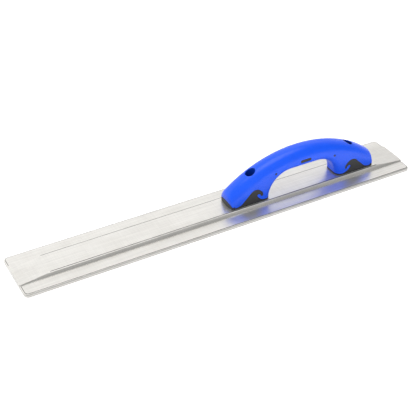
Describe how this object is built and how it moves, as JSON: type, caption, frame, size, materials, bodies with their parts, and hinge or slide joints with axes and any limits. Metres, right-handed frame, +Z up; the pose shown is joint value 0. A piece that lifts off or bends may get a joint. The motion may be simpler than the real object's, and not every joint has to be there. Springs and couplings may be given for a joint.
{
  "type": "magnesium hand float",
  "caption": "Long magnesium hand float: flat blade with a raised spine ramped at both ends, and a bow handle with a soft grip over a rigid core, screwed on nearer one end.",
  "frame": {"origin": "middle of the blade's flat working face, at the bottom of the tool", "axes": "+X along the blade towards the end that the handle sits nearer to, +Y across the blade, +Z up out of the blade's back towards the handle"},
  "size_m": [0.5588, 0.0794, 0.0673],
  "materials": {
    "magnesium": "mill finish with fine lengthwise brushing",
    "rigid_plastic": "fine matte texture",
    "soft_grip": "satin soft-touch",
    "screw_steel": "zinc plated",
    "washer_steel": "zinc plated"
  },
  "bodies": {
    "root": {"blade": "magnesium", "handle_core": "rigid_plastic", "handle_grip": "soft_grip", "long_end_screw": "screw_steel", "short_end_screw": "screw_steel", "long_end_washer": "washer_steel", "short_end_washer": "washer_steel"}
  },
  "joints": []
}
